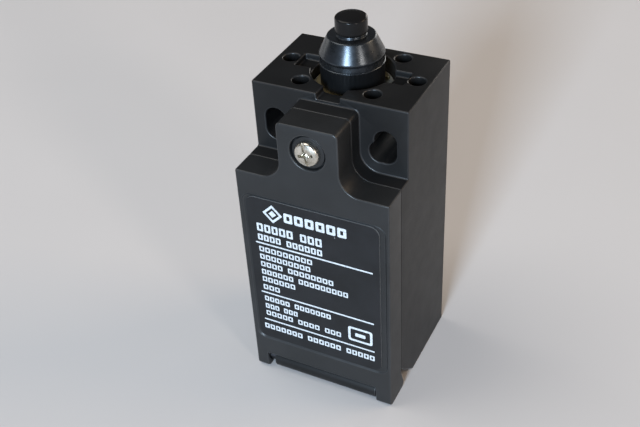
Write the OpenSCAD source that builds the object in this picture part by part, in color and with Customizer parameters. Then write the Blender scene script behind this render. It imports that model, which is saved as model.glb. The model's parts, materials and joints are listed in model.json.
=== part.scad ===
// Narrow plastic-body limit switch with a sealed top plunger, in millimetres.
// X is the width, -Y is the cover's side, +Y is the mounting side and +Z is up.
// The origin is in the middle of the body's base.

/* [Body] */
// Width of the body
body_w = 31; // [30.5:0.1:32]
// Depth from the cover's front to the mounting face, without the screw's head
body_d = 29.2; // [29:0.1:31]
// Height from the base to the head's top face
body_h = 65; // [65:0.5:68]
// Depth of the front cover
cover_d = 5.55; // [5.4:0.05:6]
// Height of the shoulders at the sides of the tongue
shoulder_z = 51; // [50.5:0.1:51.5]
// How far the head's front face stands back from the cover's seam
head_setback = 3.3; // [3:0.1:3.6]
// Thickness of the side walls
wall = 2; // [1.8:0.1:2.2]

/* [Tongue] */
// Width of the tongue that rises up the head
tongue_w = 12; // [11:0.5:13]
// Height of the tongue's top edge
tongue_z = 63.3; // [62.8:0.1:63.5]
// Radius of the fillets where the tongue meets the shoulders
tongue_fillet = 4; // [3:0.5:5]
// Height of the cover screw
screw_z = 58.15; // [57.5:0.05:59]

/* [Head] */
// How far the plunger's axis stands in front of the mounting face
axis_to_back = 9.7; // [9.5:0.1:9.9]
// Radius of the round opening in the top
opening_r = 7.8; // [7.6:0.1:7.9]
// Depth of the round opening
opening_depth = 4; // [3.6:0.1:4.2]
// Width of the cross-shaped key slots
key_w = 4.6; // [4:0.1:5]
// How far the key slots reach from the plunger's axis
key_reach = 10.9; // [10.9:0.1:11.2]
// Depth of the key slots
key_depth = 1.2; // [0.8:0.1:1.4]
// Radius of the blind holes in the top
head_hole_r = 1.6; // [1.4:0.1:1.6]
// Depth of the blind holes
head_hole_depth = 4; // [3:0.5:4]
// Distance between the left and right blind holes
head_hole_span = 25.5; // [25:0.1:26]
// Distance between the four inner blind holes, across the width
head_hole_x = 14.3; // [14:0.1:14.6]
// Distance between the four inner blind holes, across the depth
head_hole_y = 14.2; // [14:0.1:14.4]

/* [Mounting] */
// Radius of the round mounting holes and half the slots' width
mount_r = 2.15; // [2.1:0.05:2.2]
// Distance between the round mounting holes
mount_span = 20; // [20:0.1:20.2]
// Height of the round mounting holes
mount_z = 55.55; // [55:0.05:56]
// Distance between the mounting slots
slot_span = 22; // [21.8:0.1:22.2]
// Height of the slots' lowest point
slot_low = 53.4; // [53:0.1:54]
// Height of the slots' highest point
slot_high = 60.05; // [59.5:0.05:60.2]
// Radius of the conduit entry's wall
conduit_r = 9.25; // [9:0.05:9.4]
// Length of the conduit entry
conduit_l = 9; // [8:0.5:9.5]

/* [Motion] */
// Full travel of the plunger
plunger_travel = 4.5; // [4:0.1:4.5]
// How far the contacts move at full travel
contact_travel = 1.8; // [1.6:0.1:1.8]

/* [Hidden] */
$fn = 96;
front_y = -body_d / 2;
back_y = body_d / 2;
seam_y = front_y + cover_d;
head_y = seam_y + head_setback;
axis_y = back_y - axis_to_back;

// Hinge at the cover's lower edge. Its axis is as far from the front as from the base,
// so the open cover lies level with the base.
hinge_inset = 2.15;
hinge_y = front_y + hinge_inset;
barrel_r = 2;
barrel_ends = [-11.4, 11.95];
notch_ends = [-12.9, 12.1];
notch_fit = 0.1;
pin_r = 1.1;
pin_in = 3;
pin_end = 14.7;
pin_bore_end = 15;
pin_fit = 0.06;
foot_back = hinge_y + 4.65;
foot_relief_r = 5;
foot_ramp = 6.45;

// Case cavity
back_wall = 2.6;
cavity_back = back_y - back_wall;
cavity_half = body_w / 2 - wall;
cavity_top = shoulder_z - wall;
cavity_corner = 1.5;
conduit_y = (seam_y + back_y) / 2 - 0.1;

// Cover
panel_t = 2.2;
rim_w = 2.2;
gasket_w = 1;
gasket_t = 0.9;
label_recess = 0.25;
label_t = 0.25;
label_w = 27.4;
label_low = 9.5;
label_high = 45.6;
label_x = -0.2;
recess_margin = 0.8;
recess_low = 9;
recess_high = 46;

// Cover screw
screw_travel = 3;
screw_head_r = 2.4;
screw_head_h = 1.25;
screw_head_y = front_y - 0.8;
screw_slot_turn = 78;
screw_washer_t = 0.9;
screw_washer_r = 3.2;
counterbore_r = 3.5;
counterbore_depth = 1.35;
counterbore_y = front_y + counterbore_depth;
captive_web = 0.8;
screw_neck_r = 1.15;
screw_thread_r = 1.45;
screw_tip_y = seam_y + screw_travel;
screw_thread_l = 2.25;
insert_r = 2.2;
insert_l = 5;
insert_bore_r = 1.8;

// Plunger head, from the inside out
holder_r = 6;
holder_low = cavity_top - 1.5;
holder_top = body_h + 2.4;
holder_flange_r = 6.9;
holder_floor = cavity_top + 1.5;
cup_r = 5.2;
cup_low = holder_top - 3.8;
chamber_r = 4.3;
stem_r = 2;
stem_low = holder_low - 1;
stem_top = body_h + 9.4;
guide_fit = 0.05;
collar_low = cup_low - 2.6;
collar_t = 1.2;
opening_floor = body_h - opening_depth;
seal_t = 0.8;
clip_t = 0.8;
clip_low = opening_floor + seal_t;
clip_groove_r = 5.4;
clip_fit = 0.05;
clip_gap = 5;
clip_gap_angle = 12;
boot_r = 6.12;
boot_band = 1.05;
boot_shoulder_z = body_h + 7.1;
boot_shoulder_r = 4.48;
boot_wall = 0.8;
knob_r = 3;
knob_low = body_h + 7.6;
knob_top = body_h + 10.9;
knob_crown = 0.45;
bead_r = 2.75;

// Contact block
block_half = 12.7;
block_low = 17;
block_high = 41;
block_front = axis_y - 5.3;
block_back = cavity_back - 0.1;
lid_t = 2.2;
lid_front = block_front - lid_t;
chamber_half = 8;
chamber_low = block_low + 2;
chamber_high = block_high - 1.8;
chamber_back = axis_y + 5.5;
slider_r = 2.2;
slider_top = stem_low - 0.02;
slider_low = chamber_high - 2.3;
slider_flange_r = 3.2;
slider_flange_t = 2.1;
slider_bore_r = 1.5;
slider_bore_top = slider_low + 7.1;
carrier_top = slider_low - (plunger_travel - contact_travel) - 0.1;
carrier_low = chamber_low + 5;
carrier_half = 2.6;
carrier_half_y = 2.9;
window_half_y = 1.9;
window_h = 3.5;
nc_window_low = carrier_top - 1 - window_h;
no_window_low = carrier_low + 1.1;
bridge_t = 0.6;
bridge_half = 7;
bridge_half_y = 1.7;
nc_bridge_low = nc_window_low + window_h - 0.1 - bridge_t;
no_bridge_low = no_window_low + 0.1;
tip_r = 1.2;
tip_t = 0.5;
tip_x = 5.7;
contact_touch = 0.02;
strip_t = 0.8;
strip_in = 4.7;
strip_out = 7.7;
strip_back = axis_y + 2;
nc_strip_low = nc_bridge_low + bridge_t + 2 * tip_t + contact_touch;
no_strip_low = no_bridge_low - 2 * tip_t - contact_travel - 0.05 - strip_t;
plate_out = 12.5;
plate_h = 6.4;
plate_t = 0.8;
plate_front = lid_front - plate_t;
nc_plate_z = nc_strip_low + 0.9;
no_plate_z = no_strip_low + 1;
terminal_x = 9.9;
clamp_t = 1;
clamp_w = 5;
terminal_head_r = 2.4;
terminal_head_h = 1.8;
terminal_shank_r = 1.5;
terminal_shank_l = 6;
rib_front = lid_front - 4;
rib_x = 3.4;
rib_t = 1;
barrier_z = (nc_plate_z + no_plate_z) / 2;
fixing_z = barrier_z;
fixing_x = 10.1;
fixing_head_r = 2;
fixing_shank_r = 1.25;
lid_window_half = 1.5;
lid_window_low = barrier_z - 3;
lid_window_high = barrier_z + 2;
nose_half = 1.2;
nose_low = barrier_z - 0.9;
nose_high = barrier_z + 1.6;

// Shared shapes

// Extrudes a front view, drawn with X across and Z up, from y0 back to y1
module along_y(y0, y1) {
    translate([0, y1, 0]) rotate([90, 0, 0]) linear_extrude(y1 - y0) children();
}

// Extrudes a side view, drawn with Y across and Z up, from x0 to x1
module along_x(x0, x1) {
    translate([x0, 0, 0]) rotate([90, 0, 90]) linear_extrude(x1 - x0) children();
}

// A disc about the Y axis, from y0 back to y1
module disc_y(x, z, r, y0, y1) {
    along_y(y0, y1) translate([x, z]) circle(r);
}

// A block between two corners
module block(low, high) {
    translate(low) cube(high - low);
}

// A rectangle from low to high with round corners
module rounded_rect(low, high, r) {
    translate([low.x + r, low.y]) square([high.x - low.x - 2 * r, high.y - low.y]);
    translate([low.x, low.y + r]) square([high.x - low.x, high.y - low.y - 2 * r]);
    for (x = [low.x + r, high.x - r], z = [low.y + r, high.y - r]) {
        translate([x, z]) circle(r);
    }
}

// An upright slot about x, from z0 to z1
module slot_2d(x, z0, z1, r) {
    translate([x - r, z0 + r]) square([2 * r, z1 - z0 - 2 * r]);
    for (z = [z0 + r, z1 - r]) translate([x, z]) circle(r);
}

// A round shape about the plunger's axis from a half section of [radius, height] points
module turned(points) {
    translate([0, axis_y, 0]) rotate_extrude() polygon(points);
}

// A flat ring about the plunger's axis
module ring(outer, inner, z0, z1) {
    turned([[inner, z0], [outer, z0], [outer, z1], [inner, z1]]);
}

// Height of a closed-end spring's wire, this many turns up from its lower end
function wire_height(turn, turns, length, wire) =
    let (dead = 1.15 * wire, active = length - wire - 2 * dead)
    turn < 1 ? dead * turn
    : turn > turns - 1 ? length - wire - dead * (turns - turn)
    : dead + active * (turn - 1) / (turns - 2);

// A coil spring about the Z axis, with closed ends
module coil_spring(mean_r, wire, length, turns) {
    steps = 16;
    sides = 6;
    rings = turns * steps;
    points = [
        for (i = [0:rings], j = [0:sides - 1])
            let (
                around = 360 * i / steps,
                side = 360 * j / sides,
                r = mean_r + wire / 2 * cos(side),
                z = wire / 2 + wire_height(i / steps, turns, length, wire)
            )
            [r * cos(around), r * sin(around), z + wire / 2 * sin(side)]
    ];
    walls = [
        for (i = [0:rings - 1], j = [0:sides - 1])
            let (a = i * sides + j, b = i * sides + (j + 1) % sides)
            [a, a + sides, b + sides, b]
    ];
    first = [for (j = [0:sides - 1]) j];
    last = [for (j = [0:sides - 1]) rings * sides + sides - 1 - j];
    polyhedron(points = points, faces = concat(walls, [first, last]));
}

// Outline that the case and the cover share at the seam
module seam_outline() {
    translate([-body_w / 2, 0]) square([body_w, shoulder_z]);
    rounded_rect([-tongue_w / 2, shoulder_z - 3], [tongue_w / 2, tongue_z], 1);
    for (side = [-1, 1]) {
        difference() {
            translate([side * (tongue_w + tongue_fillet) / 2, shoulder_z + tongue_fillet / 2 - 0.5])
                square([tongue_fillet, tongue_fillet + 1], center = true);
            translate([side * (tongue_w / 2 + tongue_fillet), shoulder_z + tongue_fillet])
                circle(tongue_fillet);
        }
    }
}

// Case

module mounting_holes_2d() {
    for (side = [-1, 1]) {
        slot_2d(side * slot_span / 2, slot_low, slot_high, mount_r);
        translate([side * mount_span / 2, mount_z]) circle(mount_r);
    }
}

module head_holes() {
    places = [
        for (side = [-1, 1]) [side * head_hole_span / 2, 0],
        for (x = [-1, 1], y = [-1, 1]) [x * head_hole_x / 2, y * head_hole_y / 2]
    ];
    for (p = places) {
        translate([p.x, axis_y + p.y, body_h - head_hole_depth])
            cylinder(r = head_hole_r, h = head_hole_depth + 1);
    }
}

module head_opening() {
    translate([0, axis_y, opening_floor]) cylinder(r = opening_r, h = opening_depth + 1);
    for (turn = [0, 90]) {
        translate([0, axis_y, body_h - key_depth / 2 + 0.5]) rotate([0, 0, turn])
            cube([2 * key_reach, key_w, key_depth + 1], center = true);
    }
    translate([0, axis_y, cavity_top - 1]) cylinder(r = holder_r, h = opening_depth + 20);
}

module foot_relief(side) {
    x0 = side > 0 ? notch_ends[1] - notch_fit : -body_w / 2 - 1;
    x1 = side > 0 ? body_w / 2 + 1 : notch_ends[0] + notch_fit;
    along_x(x0, x1) polygon([
        [seam_y - 1, 5.4], [seam_y, 5.4], [seam_y + foot_ramp, -0.2], [seam_y - 1, -0.2]
    ]);
    along_x(x0, x1) translate([hinge_y, hinge_inset]) circle(foot_relief_r);
}

module case() {
    color("#26282b") difference() {
        union() {
            block([-body_w / 2, seam_y, 0], [body_w / 2, back_y, shoulder_z]);
            block([-body_w / 2, head_y, shoulder_z - 1], [body_w / 2, back_y, body_h]);
            along_y(seam_y, head_y + 1) seam_outline();
            along_x(barrel_ends[0], barrel_ends[1]) {
                translate([hinge_y, hinge_inset]) circle(barrel_r);
                translate([hinge_y, hinge_inset - barrel_r])
                    square([seam_y - hinge_y + 1, 2 * barrel_r]);
            }
        }
        along_y(seam_y - 1, cavity_back) rounded_rect(
            [-cavity_half, conduit_l], [cavity_half, cavity_top], cavity_corner
        );
        translate([0, conduit_y, -1]) cylinder(r = conduit_r, h = conduit_l + 2);
        along_y(seam_y - 1, back_y + 1) mounting_holes_2d();
        head_opening();
        head_holes();
        disc_y(0, screw_z, insert_r, seam_y - 1, seam_y + insert_l + 0.4);
        for (side = [-1, 1]) {
            foot_relief(side);
            x0 = side > 0 ? barrel_ends[1] - pin_in : barrel_ends[0] - 1;
            along_x(x0, x0 + pin_in + 1) translate([hinge_y, hinge_inset]) circle(pin_r);
            disc_y(side * fixing_x, fixing_z, fixing_shank_r, cavity_back - 1, cavity_back + 1.9);
        }
    }
}

module hinge_pins() {
    color("dimgray") for (side = [-1, 1]) {
        x0 = side > 0 ? barrel_ends[1] - pin_in : -pin_end;
        x1 = side > 0 ? pin_end : barrel_ends[0] + pin_in;
        along_x(x0, x1) translate([hinge_y, hinge_inset]) circle(pin_r);
    }
}

module cover_insert() {
    color("gold") difference() {
        disc_y(0, screw_z, insert_r, seam_y + 0.02, seam_y + insert_l);
        disc_y(0, screw_z, insert_bore_r, seam_y - 1, seam_y + insert_l - 0.6);
    }
}

// Cover

module foot_2d() {
    polygon([
        [front_y, 0.7], [front_y + 0.7, 0], [foot_back - 0.8, 0], [foot_back, 0.8],
        [foot_back, 1.5], [seam_y, 4.9], [seam_y, 6], [front_y, 6]
    ]);
}

module cover_ring_2d(outer, inner) {
    difference() {
        rounded_rect(
            [-body_w / 2 + outer, 2 * hinge_inset + outer],
            [body_w / 2 - outer, shoulder_z - outer], 1
        );
        rounded_rect(
            [-body_w / 2 + inner, 2 * hinge_inset + inner],
            [body_w / 2 - inner, shoulder_z - inner], 1
        );
    }
}

module cover() {
    gasket_edge = (rim_w - gasket_w) / 2;
    color("#2b2d30") difference() {
        union() {
            along_y(front_y, seam_y) difference() {
                seam_outline();
                translate([-body_w, -1]) square([2 * body_w, 1 + 2 * hinge_inset]);
            }
            for (side = [-1, 1]) {
                x0 = side > 0 ? notch_ends[1] : -body_w / 2;
                x1 = side > 0 ? body_w / 2 : notch_ends[0];
                along_x(x0, x1) foot_2d();
            }
        }
        along_y(front_y + panel_t, seam_y + 1) rounded_rect(
            [-body_w / 2 + rim_w, 2 * hinge_inset + rim_w],
            [body_w / 2 - rim_w, shoulder_z - rim_w], 1
        );
        along_y(seam_y - gasket_t, seam_y + 1)
            cover_ring_2d(gasket_edge, gasket_edge + gasket_w);
        along_y(front_y - 1, front_y + label_recess) rounded_rect(
            [-body_w / 2 + recess_margin, recess_low], [body_w / 2 - recess_margin, recess_high], 2
        );
        disc_y(0, screw_z, counterbore_r, front_y - 1, counterbore_y);
        disc_y(0, screw_z, screw_neck_r + 0.15, front_y, seam_y);
        disc_y(0, screw_z, screw_thread_r + 0.35, counterbore_y + captive_web, seam_y + 1);
        along_x(-pin_bore_end, pin_bore_end)
            translate([hinge_y, hinge_inset]) circle(pin_r + pin_fit);
    }
}

module cover_gasket() {
    gasket_edge = (rim_w - gasket_w) / 2;
    color("#8f8f86") along_y(seam_y - gasket_t, seam_y)
        cover_ring_2d(gasket_edge, gasket_edge + gasket_w);
}

module label_plate() {
    color("#17191c") along_y(front_y + label_recess - label_t, front_y + label_recess)
        rounded_rect(
            [label_x - label_w / 2, label_low], [label_x + label_w / 2, label_high], 1.6
        );
}

module cover_screw() {
    color("silver") translate([0, 0, screw_z]) rotate([-90, 0, 0]) difference() {
        rotate_extrude() polygon([
            [0, screw_head_y], [screw_head_r - 0.8, screw_head_y],
            [screw_head_r - 0.25, screw_head_y + 0.2], [screw_head_r, screw_head_y + 0.7],
            [screw_head_r, screw_head_y + screw_head_h],
            [screw_neck_r, screw_head_y + screw_head_h],
            [screw_neck_r, screw_tip_y - screw_thread_l],
            [screw_thread_r, screw_tip_y - screw_thread_l + 0.2],
            [screw_thread_r, screw_tip_y - 0.3], [screw_thread_r - 0.3, screw_tip_y],
            [0, screw_tip_y]
        ]);
        translate([0, 0, screw_head_y]) rotate([0, 0, screw_slot_turn]) {
            cube([2 * screw_head_r + 1, 0.7, 1], center = true);
            cube([0.8, 3, 1.6], center = true);
        }
    }
}

module cover_washer() {
    color("#2a2c2f") difference() {
        disc_y(0, screw_z, screw_washer_r, counterbore_y - screw_washer_t, counterbore_y);
        disc_y(0, screw_z, screw_neck_r + 0.1, counterbore_y - 2, counterbore_y + 1);
    }
}

// Plunger head

module plunger_holder() {
    color("#1e2022") turned([
        [stem_r + guide_fit, holder_low], [holder_flange_r, holder_low],
        [holder_flange_r, cavity_top], [holder_r, cavity_top], [holder_r, clip_low],
        [clip_groove_r, clip_low], [clip_groove_r, clip_low + clip_t],
        [holder_r, clip_low + clip_t], [holder_r, holder_top], [cup_r, holder_top],
        [cup_r, cup_low], [chamber_r, cup_low], [chamber_r, holder_floor],
        [stem_r + guide_fit, holder_floor]
    ]);
}

module holder_seal() {
    color("#d8d2bd") ring(opening_r - 0.1, holder_r, opening_floor, clip_low);
}

module retaining_clip() {
    color("#b58a3c") difference() {
        ring(opening_r - 0.9, clip_groove_r + clip_fit, clip_low + clip_fit, clip_low + clip_t - clip_fit);
        translate([0, axis_y, clip_low]) rotate([0, 0, clip_gap_angle])
            translate([0, -clip_gap / 2, -1]) cube([10, clip_gap, 3]);
    }
}

module rubber_boot() {
    band_z = holder_top + boot_band;
    inner_z = boot_shoulder_z - boot_wall;
    color("#1b1d1f") turned([
        [cup_r - 0.75, holder_top - 1.8], [cup_r - 0.05, holder_top - 1.8],
        [cup_r - 0.05, holder_top], [boot_r, holder_top], [boot_r, band_z],
        [boot_r - 0.75, band_z + 2], [boot_shoulder_r + 0.2, boot_shoulder_z - 0.4],
        [boot_shoulder_r - 0.2, boot_shoulder_z], [bead_r, boot_shoulder_z],
        [bead_r, knob_low], [stem_r, knob_low], [stem_r, inner_z],
        [boot_shoulder_r - 0.9, inner_z], [boot_r - 1.7, band_z + 1.2],
        [cup_r - 0.75, band_z - 0.3]
    ]);
}

module plunger_knob() {
    color("#222426") turned([
        [stem_r, knob_low], [knob_r, knob_low], [knob_r, knob_top - knob_crown - 0.2],
        [knob_r - 0.35, knob_top - knob_crown + 0.2], [knob_r - 1.2, knob_top], [0, knob_top],
        [0, stem_top], [stem_r, stem_top]
    ]);
}

module plunger_stem() {
    groove = stem_low + 0.25;
    color("silver") turned([
        [0, stem_low], [stem_r, stem_low], [stem_r, groove], [stem_r - 0.4, groove],
        [stem_r - 0.4, groove + 0.6], [stem_r, groove + 0.6], [stem_r, collar_low],
        [chamber_r - guide_fit, collar_low], [chamber_r - guide_fit, collar_low + collar_t],
        [stem_r, collar_low + collar_t], [stem_r, stem_top], [0, stem_top]
    ]);
}

module stem_clip() {
    groove = stem_low + 0.25;
    color("dimgray") difference() {
        ring(stem_r + 1.2, stem_r - 0.4, groove, groove + 0.6);
        translate([-1.3, axis_y - 5, groove - 1]) cube([2.6, 5, 3]);
    }
}

module plunger_spring() {
    color("lightgray") translate([0, axis_y, holder_floor])
        coil_spring(3.15, 0.7, collar_low - holder_floor, 6);
}

// Contact block

module terminal_places() {
    for (side = [-1, 1], z = [no_plate_z, nc_plate_z]) {
        translate([side * terminal_x, 0, z]) children();
    }
}

module block_base() {
    color("#3a3f45") difference() {
        block([-block_half, block_front, block_low], [block_half, block_back, block_high]);
        difference() {
            block([-chamber_half, block_front - 1, chamber_low],
                  [chamber_half, chamber_back, chamber_high]);
            for (side = [-1, 1]) {
                translate([side * 2.1 - 0.75, axis_y + carrier_half_y + 0.1, chamber_low - 1])
                    cube([1.5, 10, chamber_high]);
            }
        }
        translate([0, axis_y, chamber_low]) cylinder(r = slider_r + guide_fit, h = 40);
        for (side = [-1, 1]) {
            disc_y(side * fixing_x, fixing_z, fixing_shank_r + 0.1, block_front - 1, block_back + 1);
            for (z = [no_plate_z, nc_plate_z]) {
                disc_y(side * terminal_x, z, terminal_shank_r,
                       block_front - 1, plate_front + terminal_shank_l + 0.3);
            }
        }
    }
}

module block_lid() {
    color("#4a5057") difference() {
        union() {
            block([-block_half, lid_front, block_low], [block_half, block_front, block_high]);
            for (side = [-1, 1]) {
                translate([side * rib_x - rib_t / 2, rib_front, block_low])
                    cube([rib_t, lid_front - rib_front, block_high - block_low]);
                for (z = [barrier_z - 2.8, barrier_z + 2.2]) {
                    x0 = side > 0 ? rib_x : -block_half;
                    translate([x0, rib_front, z])
                        cube([block_half - rib_x, lid_front - rib_front, 0.6]);
                }
            }
        }
        block([-lid_window_half, lid_front - 1, lid_window_low],
              [lid_window_half, block_front + 1, lid_window_high]);
        for (side = [-1, 1]) {
            disc_y(side * fixing_x, fixing_z, fixing_shank_r + 0.1, lid_front - 1, block_front + 1);
            for (z = [no_plate_z, nc_plate_z]) {
                disc_y(side * terminal_x, z, terminal_shank_r, lid_front - 1, block_front + 1);
            }
            for (z = [no_strip_low, nc_strip_low]) {
                translate([side * (strip_in + strip_out) / 2 - 1.5, lid_front - 1, z])
                    cube([3, lid_t + 2, strip_t]);
            }
        }
    }
}

module cross_screw(head_r, head_h, shank_r, shank_l) {
    rotate([-90, 0, 0]) difference() {
        union() {
            translate([0, 0, -head_h]) cylinder(r = head_r, h = head_h);
            cylinder(r = shank_r, h = shank_l);
        }
        translate([0, 0, -head_h]) {
            cube([2 * head_r + 1, 0.7, 1.4], center = true);
            cube([0.7, 1.3 * head_r, 2], center = true);
        }
    }
}

module terminal_screws() {
    color("silver") terminal_places() translate([0, plate_front - clamp_t, 0])
        cross_screw(terminal_head_r, terminal_head_h, terminal_shank_r, terminal_shank_l);
}

module clamp_plates() {
    color("#c9c6b8") terminal_places() difference() {
        block([-clamp_w / 2, plate_front - clamp_t, -clamp_w / 2],
              [clamp_w / 2, plate_front, clamp_w / 2]);
        disc_y(0, 0, terminal_shank_r, plate_front - 3, plate_front + 1);
    }
}

module block_screws() {
    color("silver") for (side = [-1, 1]) {
        translate([side * fixing_x, lid_front, fixing_z])
            cross_screw(fixing_head_r, 1.6, fixing_shank_r, cavity_back + 1.8 - lid_front);
    }
}

// One terminal: a front plate under the screw and a strip back to the fixed contact
module terminal(side, strip_low, plate_z) {
    x0 = side > 0 ? strip_in : -plate_out;
    s0 = side > 0 ? strip_in : -strip_out;
    difference() {
        union() {
            translate([x0, plate_front, plate_z - plate_h / 2])
                cube([plate_out - strip_in, plate_t, plate_h]);
            translate([s0, plate_front, strip_low])
                cube([strip_out - strip_in, strip_back - plate_front, strip_t]);
        }
        disc_y(side * terminal_x, plate_z, terminal_shank_r, plate_front - 1, plate_front + 2);
    }
}

module nc_terminals() {
    color("#b9a25a") for (side = [-1, 1]) terminal(side, nc_strip_low, nc_plate_z);
}

module no_terminals() {
    color("#b9a25a") for (side = [-1, 1]) terminal(side, no_strip_low, no_plate_z);
}

// A pair of contact tips, left and right, standing on this height
module tip_pair(z) {
    for (side = [-1, 1]) {
        translate([side * tip_x, axis_y, z]) cylinder(r = tip_r, h = tip_t);
    }
}

module fixed_tips() {
    color("white") {
        tip_pair(nc_strip_low - tip_t);
        tip_pair(no_strip_low + strip_t);
    }
}

module moving_tips() {
    color("white") {
        tip_pair(nc_bridge_low + bridge_t);
        tip_pair(no_bridge_low - tip_t);
    }
}

module bridge(z) {
    block([-bridge_half, axis_y - bridge_half_y, z],
          [bridge_half, axis_y + bridge_half_y, z + bridge_t]);
}

module nc_bridge() {
    color("#c07a45") bridge(nc_bridge_low);
}

module no_bridge() {
    color("#c07a45") bridge(no_bridge_low);
}

module bridge_springs() {
    wire = 0.3;
    color("lightgray") {
        translate([0, axis_y, nc_window_low])
            coil_spring(1, wire, nc_bridge_low - nc_window_low, 5);
        translate([0, axis_y, no_bridge_low + bridge_t])
            coil_spring(1, wire, no_window_low + window_h - no_bridge_low - bridge_t, 5);
    }
}

module contact_carrier() {
    color("ivory") difference() {
        union() {
            block([-carrier_half, axis_y - carrier_half_y, carrier_low],
                  [carrier_half, axis_y + carrier_half_y, carrier_top]);
            block([-1.2, axis_y + carrier_half_y - 0.5, carrier_low],
                  [1.2, axis_y + carrier_half_y + 1.8, carrier_top]);
            block([-nose_half, lid_front + 0.4, nose_low],
                  [nose_half, axis_y - carrier_half_y + 0.5, nose_high]);
            translate([0, axis_y, carrier_top - 0.5]) cylinder(r = 0.6, h = 5);
        }
        for (z = [nc_window_low, no_window_low]) {
            translate([-10, axis_y - window_half_y, z]) cube([20, 2 * window_half_y, window_h]);
        }
        translate([0, axis_y, carrier_low - 1]) cylinder(r = 0.7, h = 1.8);
    }
}

module carrier_spring() {
    color("lightgray") translate([0, axis_y, chamber_low])
        coil_spring(1.6, 0.4, carrier_low - chamber_low, 5);
}

module push_slider() {
    color("ivory") turned([
        [slider_bore_r, slider_low], [slider_flange_r, slider_low],
        [slider_flange_r, slider_low + slider_flange_t], [slider_r, slider_low + slider_flange_t],
        [slider_r, slider_top - 0.5], [slider_r - 0.5, slider_top], [0, slider_top],
        [0, slider_bore_top], [slider_bore_r, slider_bore_top]
    ]);
}

module snap_spring() {
    color("lightgray") translate([0, axis_y, carrier_top])
        coil_spring(1.05, 0.3, slider_bore_top - carrier_top, 9);
}

case();
cover();
label_plate();
cover_gasket();
cover_screw();
cover_washer();
cover_insert();
hinge_pins();
plunger_knob();
plunger_stem();
stem_clip();
plunger_spring();
rubber_boot();
plunger_holder();
retaining_clip();
holder_seal();
block_base();
block_lid();
block_screws();
push_slider();
snap_spring();
contact_carrier();
carrier_spring();
nc_bridge();
no_bridge();
moving_tips();
bridge_springs();
nc_terminals();
no_terminals();
fixed_tips();
terminal_screws();
clamp_plates();
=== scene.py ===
"""Looks of a narrow limit switch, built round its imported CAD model.

Everything stands in the model's own frame: +Z up, -Y towards the cover's front, origin in the
middle of the base. Shapes below are drawn in millimetres and scaled once, when a mesh is made.
"""
import json
import math

import bmesh
import bpy
from mathutils import Matrix, Vector


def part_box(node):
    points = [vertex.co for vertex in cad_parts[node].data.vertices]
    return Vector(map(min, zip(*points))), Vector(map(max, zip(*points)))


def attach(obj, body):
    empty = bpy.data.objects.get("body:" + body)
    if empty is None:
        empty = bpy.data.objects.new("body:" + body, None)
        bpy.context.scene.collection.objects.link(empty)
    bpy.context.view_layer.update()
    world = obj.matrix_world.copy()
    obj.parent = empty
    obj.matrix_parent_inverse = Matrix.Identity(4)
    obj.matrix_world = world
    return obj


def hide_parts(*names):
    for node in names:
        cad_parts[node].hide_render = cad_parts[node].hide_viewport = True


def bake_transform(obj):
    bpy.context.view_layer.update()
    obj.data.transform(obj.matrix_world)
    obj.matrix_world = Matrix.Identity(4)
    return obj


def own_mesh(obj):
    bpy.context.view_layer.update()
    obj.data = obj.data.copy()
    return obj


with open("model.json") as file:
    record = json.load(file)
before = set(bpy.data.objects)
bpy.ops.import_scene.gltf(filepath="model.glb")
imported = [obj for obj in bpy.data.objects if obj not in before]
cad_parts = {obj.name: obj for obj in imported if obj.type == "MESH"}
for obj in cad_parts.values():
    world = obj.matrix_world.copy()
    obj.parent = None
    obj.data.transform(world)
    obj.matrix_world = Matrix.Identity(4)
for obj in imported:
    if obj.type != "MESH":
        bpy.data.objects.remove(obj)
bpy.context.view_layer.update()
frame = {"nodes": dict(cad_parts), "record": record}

MM = 0.001
NODES = frame["nodes"]


def box_mm(node):
    """Lowest and highest corner of a CAD node, in millimetres."""
    low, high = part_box(node)
    return low / MM, high / MM


def radius_mm(node):
    """Outer radius of a CAD node that is round about an upright axis."""
    low, high = box_mm(node)
    return (high.x - low.x) / 2


# Places that several pieces share
STEM_LOW, STEM_HIGH = box_mm("plunger_stem")
AXIS_Y = (STEM_LOW.y + STEM_HIGH.y) / 2
SCREW_LOW, SCREW_HIGH = box_mm("cover_screw")
SCREW_Z = (SCREW_LOW.z + SCREW_HIGH.z) / 2
LABEL_LOW, LABEL_HIGH = box_mm("label_plate")


# Camera, lights and floor

CAMERA_TARGET = Vector((-4.56, -2.81, 35.62)) * MM
CAMERA_AZIMUTH = math.radians(28.56)
CAMERA_ELEVATION = math.radians(37.05)
CAMERA_ROLL = math.radians(-3.64)
CAMERA_DISTANCE = 190.6 * MM
CAMERA_LENS = 54.0
ROOM_LIGHT = 0.09
FRONT_COLOUR = (0.66, 0.82, 1.0)
SIDE_COLOUR = (1.0, 0.88, 0.79)
WARM_COLOUR = (1.0, 0.74, 0.50)
CEILING_COLOUR = (1.0, 0.95, 0.89)
LIGHTS_AIM_HEIGHT = 30 * MM

# Each soft light: its name, azimuth and elevation in degrees, distance and size in metres,
# power in watts, and colour
WINDOWS = [
    ("front_window", 6, 16, 2.2, (0.46, 0.9), 76, FRONT_COLOUR),
    ("side_window", 60, 16, 2.2, (0.3, 0.8), 12, SIDE_COLOUR),
    ("warm_window", 120, 30, 1.2, (0.6, 0.5), 4.4, WARM_COLOUR),
    ("ceiling", 285, 62, 1.3, (0.9, 0.9), 7.2, CEILING_COLOUR),
    ("back_fill", 170, 10, 2.2, (1.2, 0.8), 13, CEILING_COLOUR),
    ("left_fill", 262, 8, 2.2, (0.8, 0.8), 2.5, CEILING_COLOUR),
]


def direction(azimuth, elevation):
    """Unit vector from the object towards that azimuth and elevation."""
    return Vector((
        math.sin(azimuth) * math.cos(elevation),
        -math.cos(azimuth) * math.cos(elevation),
        math.sin(elevation),
    ))


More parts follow.
